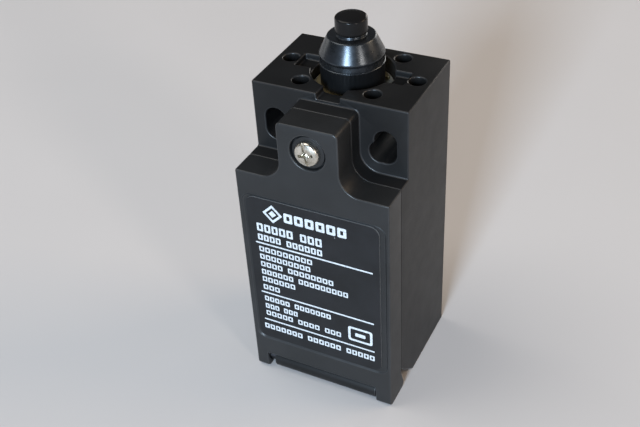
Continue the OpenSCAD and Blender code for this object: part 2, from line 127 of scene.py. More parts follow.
def add_camera():
    """A camera that stands where the photo's did, as fitted to the body's corners."""
    data = bpy.data.cameras.new("camera")
    data.lens = CAMERA_LENS
    data.sensor_width = 36
    data.clip_start = 0.005
    camera = bpy.data.objects.new("camera", data)
    back = direction(CAMERA_AZIMUTH, CAMERA_ELEVATION)
    level = Vector((math.cos(CAMERA_AZIMUTH), math.sin(CAMERA_AZIMUTH), 0))
    upward = back.cross(level)
    right = level * math.cos(CAMERA_ROLL) + upward * math.sin(CAMERA_ROLL)
    turned = Matrix((right, back.cross(right), back)).transposed().to_4x4()
    camera.matrix_world = Matrix.Translation(CAMERA_TARGET + back * CAMERA_DISTANCE) @ turned
    bpy.context.scene.collection.objects.link(camera)
    bpy.context.scene.camera = camera


def add_window(name, azimuth, elevation, distance, size, power, colour):
    """A soft rectangular light that faces the object."""
    data = bpy.data.lights.new(name, "AREA")
    data.shape = "RECTANGLE"
    data.size, data.size_y = size
    data.energy = power
    data.color = colour
    light = bpy.data.objects.new(name, data)
    towards = direction(math.radians(azimuth), math.radians(elevation))
    light.location = towards * distance + Vector((0, 0, LIGHTS_AIM_HEIGHT))
    light.rotation_mode = "QUATERNION"
    light.rotation_quaternion = towards.to_track_quat("Z", "Y")
    light.visible_camera = False
    bpy.context.scene.collection.objects.link(light)


def add_world():
    """Dim light from all round, with a pale backdrop where the camera sees past the floor."""
    world = bpy.data.worlds.new("studio")
    bpy.context.scene.world = world
    world.use_nodes = True
    tree = world.node_tree
    tree.nodes.clear()
    output = tree.nodes.new("ShaderNodeOutputWorld")
    blend = tree.nodes.new("ShaderNodeMixShader")
    path = tree.nodes.new("ShaderNodeLightPath")
    room = tree.nodes.new("ShaderNodeBackground")
    backdrop = tree.nodes.new("ShaderNodeBackground")
    room.inputs["Color"].default_value = (0.93, 0.95, 1.0, 1)
    room.inputs["Strength"].default_value = ROOM_LIGHT
    backdrop.inputs["Color"].default_value = (0.56, 0.56, 0.57, 1)
    backdrop.inputs["Strength"].default_value = 1.0
    tree.links.new(path.outputs["Is Camera Ray"], blend.inputs["Fac"])
    tree.links.new(room.outputs[0], blend.inputs[1])
    tree.links.new(backdrop.outputs[0], blend.inputs[2])
    tree.links.new(blend.outputs[0], output.inputs["Surface"])


# Materials

def start_material(name, metallic=0.0, **inputs):
    """A new material: its tree, its shader, and object coordinates."""
    material = bpy.data.materials.new(name)
    material.use_nodes = True
    tree = material.node_tree
    shader = tree.nodes["Principled BSDF"]
    shader.inputs["Metallic"].default_value = metallic
    for socket, value in inputs.items():
        shader.inputs[socket.replace("_", " ")].default_value = value
    place = tree.nodes.new("ShaderNodeTexCoord").outputs["Object"]
    return material, tree, shader, place


def stretched(tree, place, scale):
    """Coordinates stretched along an axis, for grain that runs one way."""
    mapping = tree.nodes.new("ShaderNodeMapping")
    mapping.inputs["Scale"].default_value = scale
    tree.links.new(place, mapping.inputs["Vector"])
    return mapping.outputs["Vector"]


def noise(tree, place, cell_mm, detail=3.0, rough=0.55):
    """Smooth noise whose cells are about this many millimetres across."""
    node = tree.nodes.new("ShaderNodeTexNoise")
    node.inputs["Scale"].default_value = 1 / (cell_mm * MM)
    node.inputs["Detail"].default_value = detail
    node.inputs["Roughness"].default_value = rough
    tree.links.new(place, node.inputs["Vector"])
    return node.outputs["Fac"]


def remap(tree, source, from_low, from_high, to_low, to_high):
    """A value moved from one range to another and held inside it."""
    node = tree.nodes.new("ShaderNodeMapRange")
    node.inputs["From Min"].default_value = from_low
    node.inputs["From Max"].default_value = from_high
    node.inputs["To Min"].default_value = to_low
    node.inputs["To Max"].default_value = to_high
    tree.links.new(source, node.inputs["Value"])
    return node.outputs["Result"]


def mix_colour(tree, factor, first, second):
    """A blend of two colours, each a tuple or another node's output."""
    node = tree.nodes.new("ShaderNodeMix")
    node.data_type = "RGBA"
    tree.links.new(factor, node.inputs["Factor"])
    for socket, value in ((node.inputs[6], first), (node.inputs[7], second)):
        if isinstance(value, tuple):
            socket.default_value = (*value, 1)
        else:
            tree.links.new(value, socket)
    return node.outputs[2]


def combine(tree, operation, first, second):
    """A sum, product or comparison of two values, each a number or another node's output."""
    node = tree.nodes.new("ShaderNodeMath")
    node.operation = operation
    for socket, value in zip(node.inputs, (first, second)):
        if isinstance(value, float):
            socket.default_value = value
        else:
            tree.links.new(value, socket)
    return node.outputs[0]


def specks(tree, place, cell_mm, share, size):
    """A mask of small round specks in this share of the cells."""
    node = tree.nodes.new("ShaderNodeTexVoronoi")
    node.inputs["Scale"].default_value = 1 / (cell_mm * MM)
    tree.links.new(place, node.inputs["Vector"])
    split = tree.nodes.new("ShaderNodeSeparateColor")
    tree.links.new(node.outputs["Color"], split.inputs["Color"])
    chosen = combine(tree, "GREATER_THAN", split.outputs[0], 1 - share)
    inside = remap(tree, node.outputs["Distance"], size * 0.5, size, 1, 0)
    return combine(tree, "MULTIPLY", chosen, inside)


def vary_roughness(tree, shader, source, at_low, at_high):
    """Runs the roughness between two values as a noise goes from its lows to its highs."""
    tree.links.new(remap(tree, source, 0.3, 0.7, at_low, at_high), shader.inputs["Roughness"])


def add_bump(tree, shader, heights):
    """Chains bumps into the shader's normal: each is (height, depth in millimetres)."""
    previous = None
    for height, depth_mm in heights:
        node = tree.nodes.new("ShaderNodeBump")
        node.inputs["Strength"].default_value = 1.0
        node.inputs["Distance"].default_value = depth_mm * MM
        tree.links.new(height, node.inputs["Height"])
        if previous:
            tree.links.new(previous, node.inputs["Normal"])
        previous = node.outputs["Normal"]
    tree.links.new(previous, shader.inputs["Normal"])


def moulded_plastic(
    name, dark, light, roughness, grain_mm=0.16, grain_depth=0.004, dust=0.02, gloss=0.34
):
    """Moulded plastic: spark-eroded grain, faint flow patches, rubbed spots and a little dust."""
    material, tree, shader, place = start_material(name, Specular_IOR_Level=gloss)
    patches = noise(tree, place, 9, 4)
    body = mix_colour(tree, remap(tree, patches, 0.3, 0.7, 0, 1), dark, light)
    if dust:
        grit = specks(tree, place, 1.9, dust, 0.085)
        body = mix_colour(tree, grit, body, tuple(0.16 + c for c in light))
    tree.links.new(body, shader.inputs["Base Color"])
    rubbed = noise(tree, place, 4, 5, 0.65)
    vary_roughness(tree, shader, rubbed, roughness + 0.03, roughness - 0.03)
    fine = noise(tree, place, grain_mm, 2)
    coarse = noise(tree, place, 5, 2)
    add_bump(tree, shader, [(coarse, 0.01), (fine, grain_depth)])
    return material


def rubber(name, dark, light, roughness, grain_depth=0.003, gloss=0.5, tint=(1, 1, 1)):
    """Moulded rubber: mottled, with patches of bloom that dull its sheen."""
    material, tree, shader, place = start_material(
        name, Specular_IOR_Level=gloss, Specular_Tint=(*tint, 1)
    )
    mottle = noise(tree, place, 2.2, 4, 0.6)
    bloom = noise(tree, place, 1.1, 3)
    body = mix_colour(tree, remap(tree, mottle, 0.35, 0.65, 0, 1), dark, light)
    tree.links.new(body, shader.inputs["Base Color"])
    vary_roughness(tree, shader, bloom, roughness - 0.02, roughness + 0.04)
    add_bump(tree, shader, [(mottle, 0.004), (noise(tree, place, 0.12, 2), grain_depth)])
    return material


def printed_film(name, dark, light):
    """Smooth printed film with a faint waviness and dust."""
    material, tree, shader, place = start_material(name, Specular_IOR_Level=0.24)
    body = mix_colour(tree, remap(tree, noise(tree, place, 6, 3), 0.35, 0.65, 0, 1), dark, light)
    body = mix_colour(tree, specks(tree, place, 2.3, 0.02, 0.06), body, (0.3, 0.31, 0.32))
    tree.links.new(body, shader.inputs["Base Color"])
    wear = noise(tree, place, 3, 5, 0.6)
    vary_roughness(tree, shader, wear, 0.42, 0.54)
    add_bump(tree, shader, [(noise(tree, place, 5, 2), 0.02), (noise(tree, place, 0.1, 2), 0.0015)])
    return material


def ink(name, thin, full):
    """Screen-printed ink, thinner in places. It also serves for the film's pale cut edge, which is
    partly its core and partly a painted highlight along the edge.
    """
    material, tree, shader, place = start_material(name, Specular_IOR_Level=0.4)
    cover = noise(tree, place, 0.35, 4, 0.7)
    body = mix_colour(tree, remap(tree, cover, 0.3, 0.62, 0, 1), thin, full)
    tree.links.new(body, shader.inputs["Base Color"])
    vary_roughness(tree, shader, cover, 0.65, 0.5)
    add_bump(tree, shader, [(noise(tree, place, 0.08, 2), 0.002)])
    return material


def metal(name, dull, bright, roughness, run=(1, 1, 1), tarnish=0.5, scratch_depth=0.0015):
    """Plated or bare metal: tool marks along one way, uneven tarnish and small knocks."""
    material, tree, shader, place = start_material(name, metallic=1.0)
    stain = noise(tree, place, 1.8, 5, 0.65)
    marks = noise(tree, stretched(tree, place, run), 0.09, 3, 0.6)
    stained = combine(tree, "MULTIPLY", stain, tarnish)
    marked = combine(tree, "MULTIPLY", marks, 1 - tarnish)
    tone = combine(tree, "ADD", stained, marked)
    body = mix_colour(tree, remap(tree, tone, 0.36, 0.6, 0, 1), dull, bright)
    tree.links.new(body, shader.inputs["Base Color"])
    vary_roughness(tree, shader, tone, roughness + 0.12, roughness - 0.06)
    add_bump(tree, shader, [(stain, 0.006), (marks, scratch_depth)])
    return material


# Each finish: its name, its darkest and lightest colour, its roughness, and what sets it apart
MATERIALS = {
    "case": moulded_plastic(
        "case_plastic", (0.007, 0.0071, 0.0073), (0.0115, 0.0116, 0.0118), 0.42, gloss=0.2
    ),
    "cover": moulded_plastic(
        "cover_plastic", (0.012, 0.0128, 0.0132), (0.0175, 0.0182, 0.019), 0.42, gloss=0.33
    ),
    "knob": moulded_plastic(
        "knob_plastic", (0.0058, 0.0055, 0.0055), (0.0085, 0.008, 0.008), 0.24,
        grain_mm=0.1, grain_depth=0.0015, dust=0.0, gloss=0.17,
    ),
    "holder": moulded_plastic(
        "holder_plastic", (0.003, 0.0035, 0.004), (0.006, 0.0065, 0.007), 0.36,
        grain_mm=0.12, grain_depth=0.003, gloss=0.22,
    ),
    # The boot's blue specular tint is a painted reflection colour: it blues the sheen as the front
    # window's light does
    "boot": rubber(
        "boot_rubber", (0.005, 0.0055, 0.006), (0.009, 0.0095, 0.011), 0.27,
        grain_depth=0.001, gloss=0.85, tint=(0.76, 0.88, 1),
    ),
    "gasket": rubber("gasket_rubber", (0.16, 0.16, 0.15), (0.24, 0.24, 0.22), 0.6),
    "pale_seal": rubber("pale_seal", (0.40, 0.375, 0.31), (0.56, 0.53, 0.44), 0.5),
    "block": moulded_plastic(
        "block_plastic", (0.10, 0.105, 0.11), (0.15, 0.155, 0.16), 0.5, grain_mm=0.14, dust=0.01
    ),
    "ivory": moulded_plastic(
        "ivory_plastic", (0.62, 0.57, 0.44), (0.70, 0.66, 0.54), 0.42,
        grain_mm=0.12, grain_depth=0.003, dust=0.0,
    ),
    "washer": moulded_plastic(
        "washer_nylon", (0.010, 0.0104, 0.011), (0.016, 0.0164, 0.017), 0.4,
        grain_mm=0.1, grain_depth=0.003, dust=0.0,
    ),
    "pin": metal("black_steel", (0.02, 0.02, 0.022), (0.06, 0.06, 0.065), 0.4, tarnish=0.6),
    # The film's cut edge is painted pale: partly the film's core, partly a painted highlight along
    # the label's edge
    "core": ink("film_core", (0.14, 0.145, 0.15), (0.22, 0.225, 0.23)),
    # The edge finishes are lighter and glossier than their plastic: partly wear along the edges,
    # partly a painted highlight on the rounded edges
    "case_edge": moulded_plastic(
        "case_edge_wear_and_painted_highlight", (0.012, 0.012, 0.0124), (0.021, 0.021, 0.0216), 0.34, gloss=0.34
    ),
    "cover_edge": moulded_plastic(
        "cover_edge_wear_and_painted_highlight", (0.017, 0.0175, 0.018), (0.029, 0.03, 0.031), 0.34, gloss=0.38
    ),
    "film": printed_film("label_film", (0.0085, 0.009, 0.010), (0.012, 0.0125, 0.014)),
    "ink": ink("label_ink", (0.34, 0.37, 0.39), (0.64, 0.67, 0.69)),
    "nickel": metal(
        "nickel_plate", (0.42, 0.39, 0.33), (0.85, 0.82, 0.74), 0.22,
        run=(0.3, 4, 0.3), tarnish=0.7, scratch_depth=0.003,
    ),
    "zinc": metal(
        "zinc_plate", (0.44, 0.45, 0.46), (0.72, 0.73, 0.74), 0.3, run=(1, 4, 1), tarnish=0.6
    ),
    "steel": metal(
        "turned_steel", (0.40, 0.40, 0.40), (0.66, 0.66, 0.65), 0.24, run=(0.3, 0.3, 4), tarnish=0.3
    ),
    "wire": metal(
        "spring_wire", (0.42, 0.42, 0.42), (0.70, 0.70, 0.69), 0.25, run=(0.5, 0.5, 6), tarnish=0.35
    ),
    "brass": metal(
        "machined_brass", (0.45, 0.29, 0.09), (0.80, 0.58, 0.24), 0.24, run=(1, 3, 1), tarnish=0.45
    ),
    "stamped_brass": metal(
        "stamped_brass", (0.46, 0.36, 0.17), (0.75, 0.63, 0.35), 0.3, run=(5, 0.5, 1)
    ),
    "copper": metal(
        "stamped_copper", (0.48, 0.22, 0.11), (0.78, 0.43, 0.25), 0.28, run=(0.5, 5, 1)
    ),
    "silver": metal("silver_alloy", (0.62, 0.60, 0.55), (0.88, 0.86, 0.81), 0.25, tarnish=0.7),
}

CAD_MATERIALS = {
    "case": "case", "cover": "cover", "label_plate": "film", "cover_gasket": "gasket",
    "cover_screw": "nickel", "cover_washer": "washer", "cover_insert": "brass", "hinge_pins": "pin",
    "plunger_knob": "knob", "plunger_stem": "steel", "stem_clip": "steel", "plunger_spring": "wire",
    "rubber_boot": "boot", "plunger_holder": "holder", "retaining_clip": "stamped_brass",
    "holder_seal": "pale_seal", "block_base": "block", "block_lid": "block", "block_screws": "zinc",
    "push_slider": "ivory", "snap_spring": "wire", "contact_carrier": "ivory",
    "carrier_spring": "wire", "nc_bridge": "copper", "no_bridge": "copper", "moving_tips": "silver",
    "bridge_springs": "wire", "nc_terminals": "stamped_brass", "no_terminals": "stamped_brass",
    "fixed_tips": "silver", "terminal_screws": "zinc", "clamp_plates": "zinc",
}

# How wide each CAD node's edges are rounded, in millimetres
EDGE_WIDTHS = {
    "case": 0.26, "cover": 0.26, "label_plate": 0.08, "cover_gasket": 0.1, "cover_washer": 0.08,
    "cover_insert": 0.1, "hinge_pins": 0.12, "plunger_stem": 0.1, "stem_clip": 0.08,
    "retaining_clip": 0.1, "holder_seal": 0.2, "block_base": 0.15, "block_lid": 0.12,
    "block_screws": 0.1, "push_slider": 0.12, "contact_carrier": 0.12, "nc_bridge": 0.1,
    "no_bridge": 0.1, "moving_tips": 0.12, "nc_terminals": 0.1, "no_terminals": 0.1,
    "fixed_tips": 0.12, "terminal_screws": 0.12, "clamp_plates": 0.12,
}


def paint(obj, *materials):
    """Gives an object these materials and no others."""
    obj.data.materials.clear()
    for material in materials:
        obj.data.materials.append(material)


def soften(obj, width_mm):
    """Welds a CAD node's triangles and rounds its edges, all as modifiers.

    Where the node has a second material, the rounded edges take it."""
    custom = obj.data.attributes.get("custom_normal")
    if custom:
        obj.data.attributes.remove(custom)
    weld = obj.modifiers.new("weld", "WELD")
    weld.merge_threshold = 0.002 * MM
    edge = obj.modifiers.new("edge", "BEVEL")
    edge.width = width_mm * MM
    edge.segments = 2
    edge.limit_method = "ANGLE"
    edge.angle_limit = math.radians(32)
    edge.use_clamp_overlap = False
    edge.loop_slide = False
    edge.miter_outer = "MITER_ARC"
    edge.material = len(obj.data.materials) - 1
    normals = obj.modifiers.new("normals", "WEIGHTED_NORMAL")
    normals.keep_sharp = False
    normals.mode = "FACE_AREA_WITH_ANGLE"
    obj.data.shade_smooth()


def dress_cad_nodes():
    """Gives each CAD node its materials and, where it is listed, its rounded edges."""
    for name, material in CAD_MATERIALS.items():
        paint(NODES[name], MATERIALS[material])
        # Case and cover take a lighter edge finish on their rounded edges: partly wear, partly
        # painted highlight
        if material + "_edge" in MATERIALS:
            NODES[name].data.materials.append(MATERIALS[material + "_edge"])
        if name in EDGE_WIDTHS:
            soften(NODES[name], EDGE_WIDTHS[name])


# Mesh tools. They draw in millimetres.

def add_piece(name, bm, material, body, stands_for=()):
    """Makes a piece from a bmesh drawn in millimetres. With no body, it is left unattached."""
    bmesh.ops.scale(bm, vec=Vector((MM, MM, MM)), verts=bm.verts)
    bmesh.ops.recalc_face_normals(bm, faces=bm.faces)
    mesh = bpy.data.meshes.new(name)
    bm.to_mesh(mesh)
    bm.free()
    mesh.shade_smooth()
    mesh.set_sharp_from_angle(angle=math.radians(40))
    piece = bpy.data.objects.new(name, mesh)
    bpy.context.scene.collection.objects.link(piece)
    paint(piece, MATERIALS[material])
    if stands_for:
        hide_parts(*stands_for)
    if body:
        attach(piece, body)
    return piece


def rounded_outline(corners, steps=4):
    """A closed outline from [x, y, radius] corners. A corner with a radius becomes an arc."""
    points = []
    for i, (x, y, radius) in enumerate(corners):
        corner = Vector((x, y))
        if not radius:
            points.append(corner)
            continue
        before = (Vector(corners[i - 1][:2]) - corner).normalized()
        after = (Vector(corners[(i + 1) % len(corners)][:2]) - corner).normalized()
        half = before.angle(after) / 2
        centre = corner + (before + after).normalized() * radius / math.sin(half)
        start = corner + before * radius / math.tan(half) - centre
        end = corner + after * radius / math.tan(half) - centre
        sweep = start.angle_signed(end)
        points += [
            centre + Matrix.Rotation(-sweep * k / steps, 2) @ start for k in range(steps + 1)
        ]
    return points


def lathe(bm, outline, centre=(0, 0), segments=96):
    """Turns a closed outline of [radius, height] points about an upright axis."""
    rings = []
    for radius, height in outline:
        if radius < 1e-6:
            rings.append([bm.verts.new((*centre, height))])
            continue
        rings.append([
            bm.verts.new((
                centre[0] + radius * math.cos(2 * math.pi * k / segments),
                centre[1] + radius * math.sin(2 * math.pi * k / segments),
                height,
            ))
            for k in range(segments)
        ])
    for i, ring in enumerate(rings):
        following = rings[(i + 1) % len(rings)]
        if len(ring) == 1 and len(following) == 1:
            continue
        for k in range(segments):
            corners = [
                ring[k % len(ring)], ring[(k + 1) % len(ring)],
                following[(k + 1) % len(following)], following[k % len(following)],
            ]
            bm.faces.new(list(dict.fromkeys(corners)))


def face_forward(bm, place):
    """Turns what was drawn about an upright axis to point along +Y, from this place."""
    turned = Matrix.Translation(Vector(place)) @ Matrix.Rotation(math.radians(-90), 4, "X")
    bmesh.ops.transform(bm, matrix=turned, verts=bm.verts)


def prism(bm, outline, y0, y1):
    """A flat piece: an outline of [x, z] points, from y0 back to y1."""
    front = [bm.verts.new((x, y0, z)) for x, z in outline]
    rear = [bm.verts.new((x, y1, z)) for x, z in outline]
    bm.faces.new(front)
    bm.faces.new(rear[::-1])
    count = len(outline)
    for i in range(count):
        j = (i + 1) % count
        bm.faces.new((front[i], rear[i], rear[j], front[j]))


def open_prism(bm, outer, inner, y0, y1):
    """A flat piece with a hole: both outlines have the same number of [x, z] points."""
    rings = [
        [bm.verts.new((x, y, z)) for x, z in outline]
        for outline, y in ((outer, y0), (outer, y1), (inner, y1), (inner, y0))
    ]
    count = len(outer)
    for ring, following in zip(rings, rings[1:] + rings[:1]):
        for i in range(count):
            j = (i + 1) % count
            bm.faces.new((ring[i], following[i], following[j], ring[j]))


def rectangle_outline(x0, z0, x1, z1, radius, steps=3):
    """A rectangle's outline between two corners, with rounded corners."""
    corners = [[x0, z0, radius], [x1, z0, radius], [x1, z1, radius], [x0, z1, radius]]
    return rounded_outline(corners, steps)


def coil(bm, centre, base, mean_r, wire, length, turns, sides=10, steps=40):
    """A round-wire spring that stands on base, with a closed turn at each end."""
    closed_rise = 1.15 * wire
    active = length - wire - 2 * closed_rise
    count = turns * steps
    rings = []
    for i in range(count + 1):
        turn = i / steps
        if turn < 1:
            rise = closed_rise * turn
        elif turn > turns - 1:
            rise = length - wire - closed_rise * (turns - turn)
        else:
            rise = closed_rise + active * (turn - 1) / (turns - 2)
        around = 2 * math.pi * turn
        ring = []
        for k in range(sides):
            side = 2 * math.pi * k / sides
            r = mean_r + wire / 2 * math.cos(side)
            ring.append(bm.verts.new((
                centre[0] + r * math.cos(around),
                centre[1] + r * math.sin(around),
                base + wire / 2 + rise + wire / 2 * math.sin(side),
            )))
        rings.append(ring)
    for ring, following in zip(rings, rings[1:]):
        for k in range(sides):
            j = (k + 1) % sides
            bm.faces.new((ring[k], ring[j], following[j], following[k]))
    bm.faces.new(rings[0])
    bm.faces.new(rings[-1][::-1])


def thread(bm, low, high, crest, root, pitch, caps, segments=48, steps=8):
    """A threaded surface about the Z axis from low to high. Crest and root are its radii.

    The crest and root are flat, and the thread runs out at both ends. With caps it is a rod.
    Without them the caller closes it."""
    count = max(2, round((high - low) / pitch * steps))
    rings = []
    for i in range(count + 1):
        height = low + (high - low) * i / count
        ring = []
        for k in range(segments):
            phase = (height / pitch - k / segments) % 1
            rise = min(1, max(0, 1.35 * (1 - abs(2 * phase - 1)) - 0.1))
            fade = min(1, 2.5 * i / steps, 2.5 * (count - i) / steps)
            r = root + (crest - root) * rise * fade
            angle = 2 * math.pi * k / segments
            ring.append(bm.verts.new((r * math.cos(angle), r * math.sin(angle), height)))
        rings.append(ring)
    for ring, following in zip(rings, rings[1:]):
        for k in range(segments):
            j = (k + 1) % segments
            bm.faces.new((ring[k], ring[j], following[j], following[k]))
    if caps:
        bm.faces.new(rings[0][::-1])
        bm.faces.new(rings[-1])
    return rings


def apply_modifiers(piece):
    """Replaces a piece's mesh with what its modifiers make of it."""
    graph = bpy.context.evaluated_depsgraph_get()
    final = bpy.data.meshes.new_from_object(piece.evaluated_get(graph))
    piece.modifiers.clear()
    piece.data = final


# Plunger head

def make_knob():
    """The push button on top of the stem: slightly domed, with a worn edge."""
    low, high = box_mm("plunger_knob")
    r = radius_mm("plunger_knob")
    outline = rounded_outline([
        [0, low.z, 0], [r - 0.12, low.z, 0.1], [r, low.z + 0.4, 0.3], [r - 0.02, high.z - 0.5, 0.32],
        [r - 0.32, high.z - 0.28, 0.25], [r - 1.4, high.z - 0.05, 1.5], [0, high.z, 0],
    ], 5)
    bm = bmesh.new()
    lathe(bm, outline, (0, AXIS_Y))
    add_piece("plunger_button", bm, "knob", "plunger", ["plunger_knob"])


def make_boot():
    """The rubber boot: a bead round the stem, a flat top, a cone and a lipped band on the holder."""
    low, high = box_mm("rubber_boot")
    top = high.z
    shoulder = top - 0.5
    band_low = box_mm("plunger_holder")[1].z
    band_top = band_low + 0.75
    lip_low = band_low - 0.5
    holder_r = 6.02
    r = radius_mm("rubber_boot")
    stem_r = 2.0
    bead_r = 2.75
    shoulder_r = 4.5
    collar_r = r - 0.97
    inside_r = r - 1.65
    outline = rounded_outline([
        [stem_r, top, 0], [bead_r, top, 0.2], [bead_r + 0.02, shoulder, 0.12],
        [shoulder_r - 0.05, shoulder - 0.02, 0.4], [r - 0.02, band_top + 0.5, 0.7],
        [r - 0.15, band_top, 0.2], [r - 0.12, lip_low + 0.26, 0.08], [r, lip_low + 0.16, 0.05],
        [r, lip_low, 0.08], [holder_r, lip_low, 0], [holder_r, band_low, 0],
        [collar_r, band_low, 0], [collar_r, low.z, 0], [inside_r, low.z, 0.1],
        [inside_r, band_top - 0.3, 0.3], [r - 1.5, band_top + 1.0, 1.0],
        [shoulder_r - 0.7, shoulder - 0.85, 0.4], [stem_r, shoulder - 0.8, 0],
    ], 6)
    bm = bmesh.new()
    lathe(bm, outline, (0, AXIS_Y), 128)
    boot = add_piece("plunger_boot", bm, "boot", None, ["rubber_boot"])
    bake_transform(boot)


def make_holder():
    """The plunger's holder: a ribbed barrel with a clip groove and a spring chamber."""
    low, high = box_mm("plunger_holder")
    clip_low, clip_high = box_mm("retaining_clip")
    seal_top = box_mm("holder_seal")[1].z
    flange_r = radius_mm("plunger_holder")
    r = 6.0
    bore = 2.05
    flange_top = low.z + 1.5
    groove_r = r - 0.6
    mouth_r = r - 0.8
    mouth_floor = high.z - 3.8
    chamber_r = 4.3
    chamber_floor = low.z + 3
    outline = rounded_outline([
        [bore, low.z, 0.1], [flange_r, low.z, 0.15], [flange_r, flange_top, 0], [r, flange_top, 0],
        [r, seal_top, 0.08], [groove_r, clip_low.z, 0], [groove_r, clip_high.z, 0],
        [r, clip_high.z + 0.05, 0.08], [r, high.z - 0.6, 0], [r - 0.05, high.z, 0.12],
        [mouth_r, high.z, 0.1], [mouth_r, mouth_floor, 0], [chamber_r, mouth_floor, 0.1],
        [chamber_r, chamber_floor, 0.3], [bore, chamber_floor, 0.1],
    ], 3)
    bm = bmesh.new()
    segments = 192
    segments_per_rib = 4
    rib_share = 0.004  # how deep the ribs are cut, as a share of the radius
    lathe(bm, outline, (0, AXIS_Y), segments)
    rib_low, rib_high = clip_high.z + 0.3, high.z - 0.5
    for height in (rib_low, rib_low + 0.15, rib_high - 0.15, rib_high):
        geometry = bm.verts[:] + bm.edges[:] + bm.faces[:]
        bmesh.ops.bisect_plane(bm, geom=geometry, plane_co=(0, 0, height), plane_no=(0, 0, 1))
    axis = Vector((0, AXIS_Y))
    for vert in bm.verts:
        flat = vert.co.xy - axis
        if rib_low + 0.1 < vert.co.z < rib_high - 0.1 and flat.length > r - 0.01:
            step = round(math.atan2(flat.y, flat.x) / (2 * math.pi) * segments) % segments_per_rib
            vert.co.xy = axis + flat * (1 - (rib_share if step == 0 else 0))
    add_piece("holder_barrel", bm, "holder", "case", ["plunger_holder"])


# Springs

def make_springs():
    """The coil springs. The return and lift springs ride on the case, the link spring is left on no
    body, and the contacts' two ride rigidly on their carrier.
    """
    holder_floor = box_mm("plunger_spring")[0].z
    spring_top = box_mm("plunger_spring")[1].z
    bm = bmesh.new()
    length = spring_top - holder_floor
    coil(bm, (0, AXIS_Y), holder_floor, mean_r=3.15, wire=0.7, length=length, turns=6)
    piece = add_piece("return_spring", bm, "wire", "case", ["plunger_spring"])
    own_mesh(piece)

    low, high = box_mm("snap_spring")
    bm = bmesh.new()
    coil(bm, (0, AXIS_Y), low.z, mean_r=1.05, wire=0.3, length=high.z - low.z, turns=9)
    piece = add_piece("link_spring", bm, "wire", None, ["snap_spring"])
    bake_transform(piece)

    low, high = box_mm("carrier_spring")
    bm = bmesh.new()
    coil(bm, (0, AXIS_Y), low.z, mean_r=1.6, wire=0.4, length=high.z - low.z, turns=5)
    piece = add_piece("lift_spring", bm, "wire", "case", ["carrier_spring"])
    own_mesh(piece)

    low, high = box_mm("bridge_springs")
    length = 2.8
    bm = bmesh.new()
    for base in (low.z, high.z - length):
        coil(bm, (0, AXIS_Y), base, mean_r=1, wire=0.3, length=length, turns=5)
    add_piece("contact_springs", bm, "wire", "contact_carrier", ["bridge_springs"])


# Cover screw

SHANK_R = 1.15
THREAD_R = 1.45
THREAD_PITCH = 0.5
RECESS_TURN = 78


def make_cover_screw():
    """Pan-head screw with a combined cross and slot, and a thread on its end."""
    head_r = (SCREW_HIGH.x - SCREW_LOW.x) / 2
    head_front, tip = SCREW_LOW.y, SCREW_HIGH.y
    head_back = box_mm("cover_washer")[0].y
    length = tip - head_front
    head_h = head_back - head_front
    thread_start = length - 2.25
    bm = bmesh.new()
    outline = rounded_outline([
        [0, 0, 0], [head_r - 1.0, 0.03, 1.4], [head_r - 0.22, 0.26, 0.4], [head_r, 0.62, 0.3],
        [head_r, head_h, 0.1], [SHANK_R, head_h, 0.1],
        [SHANK_R, thread_start + 0.05, 0], [0, thread_start + 0.05, 0],
    ], 5)
    lathe(bm, outline, (0, 0), 72)
    face_forward(bm, (0, head_front, SCREW_Z))
    head = add_piece("screw_head", bm, "nickel", None)

    bm = bmesh.new()
    # The slot, the bar across it, and a square on its corner that widens their middle
    slot, bar, square = (2.3 * head_r, 1.1, 0.6), (0.6, 1.8, 3.0), (1.2, 1.8, 1.2)
    for size, turn in ((slot, 0), (bar, 0), (square, 45)):
        verts = bmesh.ops.create_cube(bm, size=1)["verts"]
        bmesh.ops.scale(bm, vec=size, verts=verts)
        if turn:
            turned = Matrix.Rotation(math.radians(turn), 3, "Y")
            bmesh.ops.rotate(bm, matrix=turned, verts=verts)
    turned = Matrix.Rotation(math.radians(RECESS_TURN), 3, "Y")
    bmesh.ops.rotate(bm, matrix=turned, verts=bm.verts)
    bmesh.ops.translate(bm, vec=(0, head_front, SCREW_Z), verts=bm.verts)
    tool = add_piece("screw_recess", bm, "nickel", None)
    cut = head.modifiers.new("recess", "BOOLEAN")
    cut.operation = "DIFFERENCE"
    cut.object = tool
    cut.use_self = True
    apply_modifiers(head)
    bpy.data.objects.remove(tool)
    head.name = "screw_body"
    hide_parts("cover_screw")
    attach(head, "cover_screw")
    edge = head.modifiers.new("edge", "BEVEL")
    edge.width = 0.05 * MM
    edge.segments = 2
    edge.angle_limit = math.radians(40)

    bm = bmesh.new()
    thread(bm, thread_start, length, THREAD_R, SHANK_R, THREAD_PITCH, caps=True)
    face_forward(bm, (0, head_front, SCREW_Z))
    add_piece("screw_thread", bm, "nickel", "cover_screw")


# Label print

PRINT_DEPTH = 0.03
PRINT_LEFT = -12.0
LABEL_CORNER = 1.9
EMBLEM = (-8.3, 42.6)
EMBLEM_RADII = (2.1, 1.45, 0.8)

# The framed mark: corners of its frame's outside and inside, and of the bar within
MARK_OUTSIDE = (6.5, 15.9, 11.7, 19.6)
MARK_INSIDE = (7.0, 16.4, 11.2, 19.1)
MARK_BAR = (8.0, 17.3, 10.2, 18.2)

# The lines at the top and foot: left and right ends, middle, size, the words' lengths, stroke
HEADLINE = (-5.9, 7.4, 42.5, 2.2, (6,), 0.6)
FOOTER = (-12.7, 12.3, 12.6, 1.3, (7, 6, 5), 0.32)

